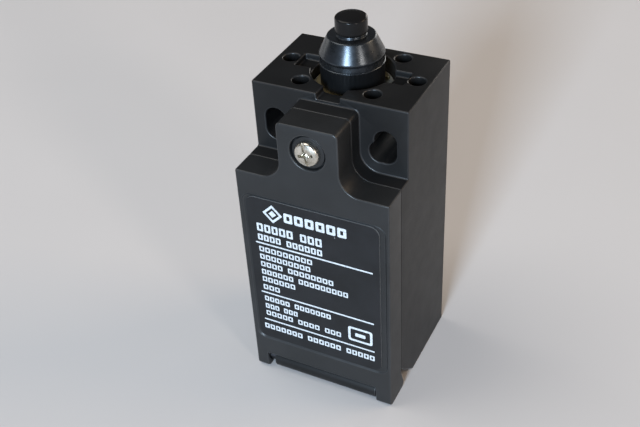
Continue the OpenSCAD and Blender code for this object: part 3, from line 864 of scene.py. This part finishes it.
# Each row of print: height of its middle, size, right end, the words' lengths and the stroke
PRINT_ROWS = [
    (38.7, 1.9, 2.1, (5, 3), 0.42),
    (36.3, 1.45, 2.0, (4, 6), 0.34),
    (33.3, 1.25, -0.3, (9,), 0.29),
    (31.4, 1.25, -0.8, (9,), 0.29),
    (29.5, 1.25, 4.0, (4, 8), 0.29),
    (27.5, 1.25, 7.0, (6, 9), 0.29),
    (25.6, 1.25, -4.5, (6,), 0.29),
    (23.5, 1.25, -8.1, (3,), 0.29),
    (20.4, 1.25, 3.0, (5, 7), 0.29),
    (18.35, 1.25, -4.5, (3, 3), 0.29),
    (16.4, 1.25, 5.1, (5, 4, 3), 0.29),
]
RULE_HEIGHTS = (34.8, 22.0, 14.5)
RULE_LEFT, RULE_RIGHT = -12.6, 12.1
RULE_HALF = 0.17


def print_row(bm, left, right, height, size, words, stroke, front, back):
    """A row of plain open boxes in groups, standing for a printed line."""
    space = 0.8
    fill = 0.82
    pitch = (right - left) / (sum(words) + space * (len(words) - 1))
    z0, z1 = height - size / 2, height + size / 2
    x = left
    for count in words:
        for _ in range(count):
            x1 = x + fill * pitch
            open_prism(
                bm, rectangle_outline(x, z0, x1, z1, 0.3 * stroke, 1),
                rectangle_outline(
                    x + stroke, z0 + stroke, x1 - stroke, z1 - stroke, 0.1 * stroke, 1
                ), front, back,
            )
            x += pitch
        x += space * pitch


def make_label():
    """The printed film: a dark face, and a pale cut edge that is partly its core and partly a painted
    highlight.
    """
    low, high = LABEL_LOW, LABEL_HIGH
    bm = bmesh.new()
    prism(bm, rectangle_outline(low.x, low.z, high.x, high.z, LABEL_CORNER, 8), low.y, high.y)
    film = add_piece("label_film", bm, "film", "cover", ["label_plate"])
    # Side faces take the pale edge colour: partly the film's core, partly a painted highlight
    film.data.materials.append(MATERIALS["core"])
    for face in film.data.polygons:
        face.material_index = 0 if abs(face.normal.y) > 0.5 else 1


def make_label_print():
    """Generic print on the label: rows of marks, three rules, an emblem and a framed mark."""
    back = LABEL_LOW.y + 0.01
    front = LABEL_LOW.y - PRINT_DEPTH
    bm = bmesh.new()
    print_row(bm, *HEADLINE, front, back)
    for height, size, right, words, stroke in PRINT_ROWS:
        print_row(bm, PRINT_LEFT, right, height, size, words, stroke, front, back)
    print_row(bm, *FOOTER, front, back)
    for height in RULE_HEIGHTS:
        low, high = height - RULE_HALF, height + RULE_HALF
        prism(bm, rectangle_outline(RULE_LEFT, low, RULE_RIGHT, high, 0.1), front, back)
    x, z = EMBLEM
    outer, inner, dot = [
        [(x + r * dx, z + r * dz) for dx, dz in ((1, 0), (0, 1), (-1, 0), (0, -1))]
        for r in EMBLEM_RADII
    ]
    open_prism(bm, outer, inner, front, back)
    prism(bm, dot, front, back)
    open_prism(
        bm, rectangle_outline(*MARK_OUTSIDE, 0.5), rectangle_outline(*MARK_INSIDE, 0.3),
        front, back,
    )
    prism(bm, rectangle_outline(*MARK_BAR, 0.2), front, back)
    add_piece("label_print", bm, "ink", "cover")


# Conduit thread

def make_conduit_thread():
    """The internal thread of the conduit entry, lining the bore's wall."""
    entry = next(m for m in frame["record"]["mounts"] if m["name"] == "conduit_entry")
    centre_y = entry["pos_m"][1] / MM
    bore_r = entry["dims"]["r_mm"]
    depth = entry["dims"]["length_mm"] - 0.4
    mouth = 0.2
    thread_depth = 0.32
    pitch = 1.5
    bm = bmesh.new()
    crest, root = bore_r - thread_depth, bore_r - 0.01
    rings = thread(bm, mouth, depth, crest, root, pitch, caps=False, segments=96)
    lower, upper = [
        [
            bm.verts.new((
                bore_r * v.co.x / v.co.xy.length, bore_r * v.co.y / v.co.xy.length, v.co.z
            ))
            for v in ring
        ]
        for ring in (rings[0], rings[-1])
    ]
    count = len(lower)
    for k in range(count):
        j = (k + 1) % count
        bm.faces.new((rings[0][k], lower[k], lower[j], rings[0][j]))
        bm.faces.new((lower[k], upper[k], upper[j], lower[j]))
        bm.faces.new((upper[k], rings[-1][k], rings[-1][j], upper[j]))
    bmesh.ops.translate(bm, vec=(0, centre_y, 0), verts=bm.verts)
    add_piece("conduit_thread", bm, "case", "case")


def make_floor():
    """The plain table that the object stands on, which isn't part of it."""
    bm = bmesh.new()
    bmesh.ops.create_grid(bm, x_segments=1, y_segments=1, size=1.5)
    mesh = bpy.data.meshes.new("floor")
    bm.to_mesh(mesh)
    bm.free()
    floor = bpy.data.objects.new("floor", mesh)
    bpy.context.scene.collection.objects.link(floor)
    material, tree, shader, place = start_material("floor", Specular_IOR_Level=0.1)
    body = mix_colour(tree, noise(tree, place, 60, 2), (0.62, 0.605, 0.60), (0.65, 0.635, 0.63))
    tree.links.new(body, shader.inputs["Base Color"])
    shader.inputs["Roughness"].default_value = 0.9
    floor.data.materials.append(material)


add_camera()
add_world()
for window in WINDOWS:
    add_window(*window)
bpy.context.scene.view_settings.view_transform = "Standard"

dress_cad_nodes()
make_knob()
make_boot()
make_holder()
make_springs()
make_cover_screw()
make_label()
make_label_print()
make_conduit_thread()
make_floor()
